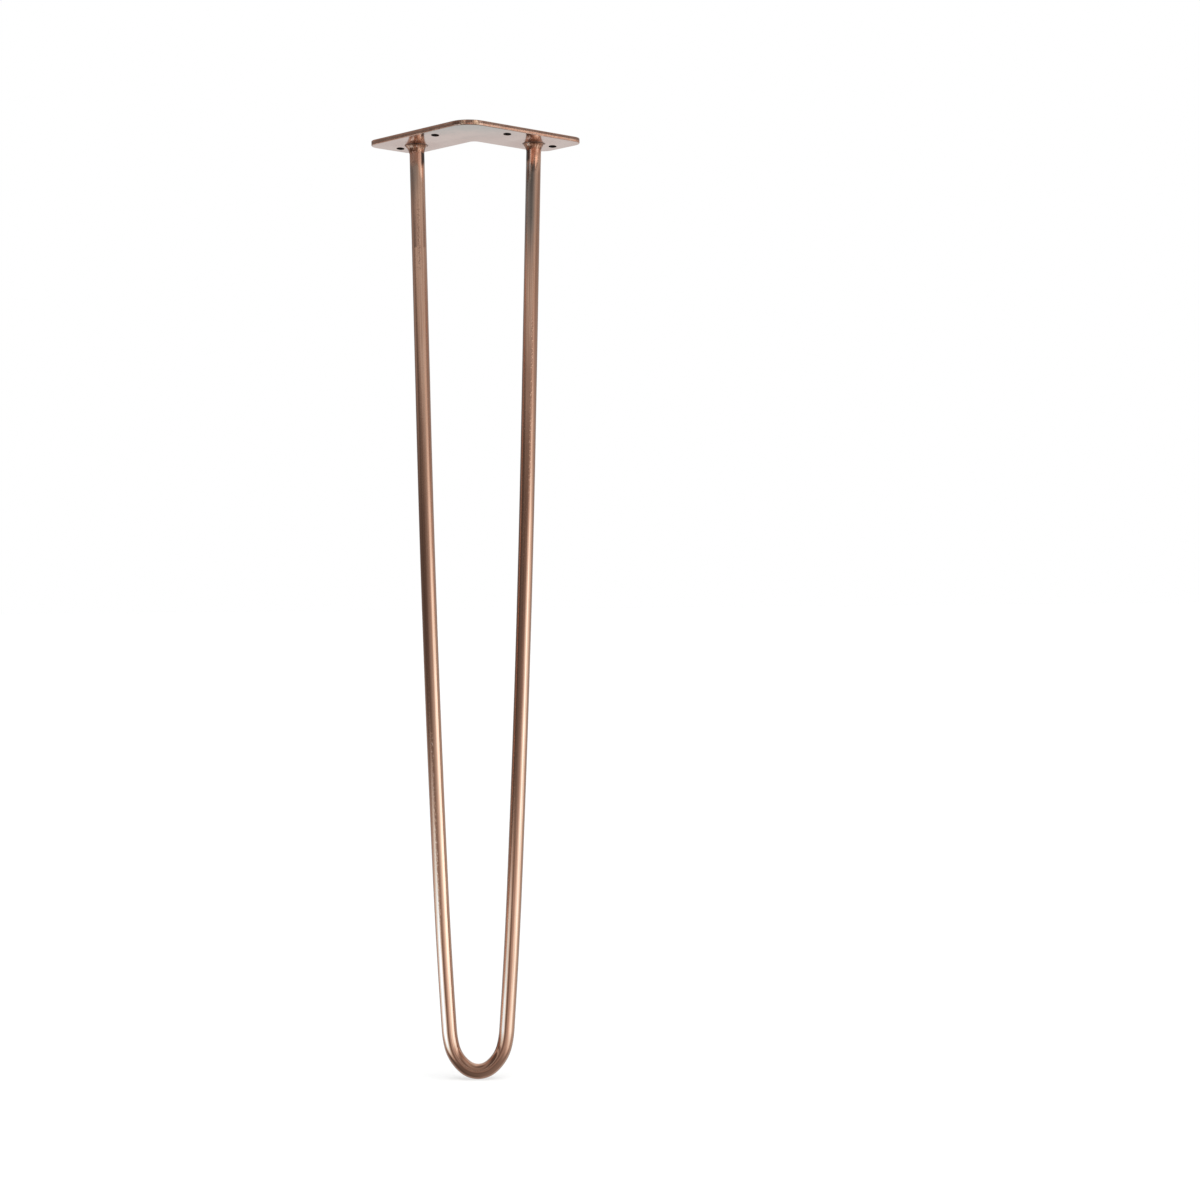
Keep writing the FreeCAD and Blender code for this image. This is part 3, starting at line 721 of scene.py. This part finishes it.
def plate_material():
    mat, t = new_material("antiqued_copper_plate")
    place = t.new("ShaderNodeTexCoord").outputs["Object"]
    mm = t.scaled(place, 1000.0, 1000.0, 1000.0)
    part = t.new("ShaderNodeSeparateXYZ")
    t.put(part.inputs[0], mm)
    x, y, z = part.outputs
    cloud = t.noise(mm, scale=0.035, detail=4.0, rough=0.55)
    grain = t.noise(mm, scale=0.9, detail=3.0)
    fine = t.noise(t.scaled(mm, 0.25, 2.6, 2.6), detail=3.0)
    tone = t.ramp(t.add(t.mul(cloud, 0.65), t.mul(grain, 0.15), t.mul(fine, 0.20)), 0.36, 0.62)
    colour = t.mix(tone, rgb(0.84, 0.465, 0.35), rgb(1.0, 0.63, 0.495))
    # greyer towards the rounded corner, where the plating is thin
    thin = t.mul(t.ramp(t.add(y, t.mul(t.math("SUBTRACT", cloud, 0.5), 60.0)), -32.0, 14.0, 1.0, 0.0), 0.75)
    colour = t.mix(thin, colour, rgb(0.47, 0.44, 0.38))
    # painted shade in and round the screw holes
    face = t.new("ShaderNodeSeparateXYZ")
    t.put(face.inputs[0], t.new("ShaderNodeNewGeometry").outputs["Normal"])
    flat = t.math("ABSOLUTE", face.outputs[2])
    upright = t.ramp(flat, 0.25, 0.75, 1.0, 0.0)
    ax = t.math("ABSOLUTE", x)
    hole, painted_shade_ovals = None, None
    for hx, hy in ((27.2, 0.0), (59.0, 50.9)):
        dx, dy = t.math("SUBTRACT", ax, hx), t.math("SUBTRACT", y, hy)
        far = t.math("SQRT", t.add(t.mul(dx, dx), t.mul(dy, dy)))
        long_ = t.math("SQRT", t.add(t.mul(dx, dx), t.mul(dy, dy, 0.33)))
        near = t.ramp(far, 3.3, 3.7, 1.0, 0.0)
        painted_shade_oval = t.ramp(long_, 2.95, 3.25, 1.0, 0.0)
        hole = near if hole is None else t.math("MAXIMUM", hole, near)
        painted_shade_ovals = painted_shade_oval if painted_shade_ovals is None else t.math("MAXIMUM", painted_shade_ovals, painted_shade_oval)
    # near-black painted shade inside the holes, and painted shade ovals round them on the lower face
    hole_painted_shade = t.math("MAXIMUM", t.mul(hole, t.ramp(flat, 0.80, 0.95, 1.0, 0.0)),
                  t.mul(painted_shade_ovals, t.ramp(z, -3.0, -3.6)))
    colour = t.mix(hole_painted_shade, colour, rgb(0.012, 0.009, 0.008))
    # the sheared edge: a dark upper part with upright scores, painted as a dark reflection, a brighter lower part
    # that slopes in, and two rubbed patches at the rounded corner, painted brighter as highlights
    cut = t.mul(upright, t.math("SUBTRACT", 1.0, hole))
    lay = t.noise(t.scaled(mm, 0.10, 0.10, 2.2, (0.0, 5.0, 0.0)), detail=3.0, rough=0.6)
    scores = t.noise(t.scaled(mm, 1.5, 1.5, 0.12, (7.0, 0.0, 0.0)), detail=3.0, rough=0.6)
    step = t.add(z, t.mul(t.math("SUBTRACT", lay, 0.5), 1.2))
    step = t.add(step, t.ramp(face.outputs[0], -0.3, 0.3, 0.75, -0.15))
    lower = t.ramp(step, -2.5, -2.2, 1.0, 0.0)
    # painted dark reflection on the upper part of the edge
    painted_dark_reflection = t.mul(t.math("SUBTRACT", 1.0, lower), t.ramp(step, -0.85, -0.55, 1.0, 0.25))
    worn = t.add(t.mul(scores, 0.6), t.mul(lay, 0.4))
    edge = t.mix(t.ramp(worn, 0.40, 0.60), rgb(0.95, 0.40, 0.25), rgb(1.0, 0.55, 0.39))
    edge = t.mix(t.mul(painted_dark_reflection, t.ramp(worn, 0.38, 0.62, 0.95, 0.50)), edge, rgb(0.38, 0.225, 0.17))
    # rubbed patches, rougher and painted brighter as highlights on the rounded corner
    rub_and_painted_glint = None
    for px, half in ((-3.4, 1.9), (6.2, 2.5)):
        off = t.math("ABSOLUTE", t.math("SUBTRACT", x, px))
        rub_glint_spot = t.ramp(t.add(off, t.mul(t.math("SUBTRACT", grain, 0.5), 3.0)), half * 0.5, half * 1.3, 1.0, 0.0)
        rub_and_painted_glint = rub_glint_spot if rub_and_painted_glint is None else t.math("MAXIMUM", rub_and_painted_glint, rub_glint_spot)
    rub_and_painted_glint = t.mul(rub_and_painted_glint, t.ramp(y, -30.0, -26.0, 1.0, 0.0))
    edge = t.mix(t.mul(rub_and_painted_glint, t.ramp(x, -1.0, 3.0, 0.7, 0.9)), edge, rgb(1.0, 0.54, 0.34))
    colour = t.mix(cut, colour, edge)
    # a dark line round each weld: toe oxide, and painted shade where the weld meets the plate
    dx, dy = t.math("SUBTRACT", ax, 45.1), t.math("SUBTRACT", y, 38.9)
    far = t.math("SQRT", t.add(t.mul(dx, dx), t.mul(dy, dy)))
    wobble = t.mul(t.math("SUBTRACT", grain, 0.5), 1.6)
    toe_oxide_and_shade = t.mul(t.ramp(t.add(far, wobble), 8.6, 9.5, 1.0, 0.0), t.ramp(z, -3.6, -3.9))
    colour = t.mix(t.mul(toe_oxide_and_shade, 0.85), colour, rgb(0.16, 0.10, 0.08))
    roughness = t.ramp(t.add(t.mul(cloud, 0.5), t.mul(grain, 0.5)), 0.35, 0.65, 0.20, 0.12)
    roughness = t.math("MAXIMUM", roughness, t.mul(t.math("MAXIMUM", toe_oxide_and_shade, hole_painted_shade), 0.45))
    roughness = t.math("MAXIMUM", roughness, t.ramp(t.add(far, wobble), 14.0, 26.0, 0.27, 0.12))
    roughness = t.math("MAXIMUM", roughness, t.mul(cut, t.ramp(rub_and_painted_glint, 0.0, 1.0, 0.20, 0.32)))
    normal = t.bump(t.add(t.mul(cloud, 3.0), t.mul(fine, 0.25), t.mul(grain, 0.3)), 0.10, 0.00005)
    normal = t.bump(t.mul(t.add(lay, t.mul(scores, 0.8)), cut), 0.35, 0.00006, normal)
    slope = t.mul(t.ramp(step, -4.0, -2.2, 0.0, 1.0, smooth=False), cut)
    normal = t.bump(slope, 1.0, 0.00036, normal)
    normal = t.bump(t.mul(t.ramp(z, -4.0, -0.6, 0.0, 1.0, smooth=False), rub_and_painted_glint, cut), 1.0, 0.0008, normal)
    coat = t.mul(t.math("SUBTRACT", 1.0, hole_painted_shade), t.ramp(cut, 0.0, 1.0, 1.0, 0.4),
                 t.ramp(toe_oxide_and_shade, 0.0, 1.0, 1.0, 0.3))
    metal = t.mul(t.math("SUBTRACT", 1.0, hole_painted_shade), t.ramp(toe_oxide_and_shade, 0.0, 1.0, 1.0, 0.35))
    copper(t, colour, roughness, normal, coat=coat, metal=metal)
    return mat


def weld_material():
    mat, t = new_material("antiqued_copper_weld")
    place = t.new("ShaderNodeTexCoord").outputs["Object"]
    mm = t.scaled(place, 1000.0, 1000.0, 1000.0)
    z = t.new("ShaderNodeSeparateXYZ")
    t.put(z.inputs[0], mm)
    depth = z.outputs[2]
    cloud = t.noise(mm, scale=0.35, detail=3.0)
    grain = t.noise(mm, scale=1.6, detail=3.0)
    colour = t.mix(t.ramp(cloud, 0.35, 0.65), rgb(0.46, 0.195, 0.11), rgb(0.80, 0.37, 0.23))
    # darker at the toe: oxide, and painted shade where the bead meets the plate
    toe = t.ramp(t.add(depth, t.mul(grain, 0.4)), -4.35, -3.95)
    colour = t.mix(t.mul(toe, 0.85), colour, rgb(0.13, 0.08, 0.065))
    roughness = t.ramp(grain, 0.3, 0.7, 0.34, 0.22)
    normal = t.bump(grain, 0.15, 0.00004)
    copper(t, colour, roughness, normal, coat=t.ramp(cloud, 0.3, 0.7, 0.35, 0.65))
    return mat


def give(obj, mat):
    if obj.material_slots:
        for s in obj.material_slots:
            s.material = mat
    else:
        obj.data.materials.append(mat)


give(rod, rod_material())
give(nodes["mounting_plate"], plate_material())
weld_mat = weld_material()
give(weld_l, weld_mat)
give(weld_r, weld_mat)

# ---------------------------------------------------------------------------------------------
# every piece rides on the leg's one body
# ---------------------------------------------------------------------------------------------
for piece, node, slot_name in ((rod, "hairpin_rod", "rod_finish"),
                               (weld_l, "weld_left", "weld_finish"),
                               (weld_r, "weld_right", "weld_finish")):
    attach(piece, "root")
    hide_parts(node)
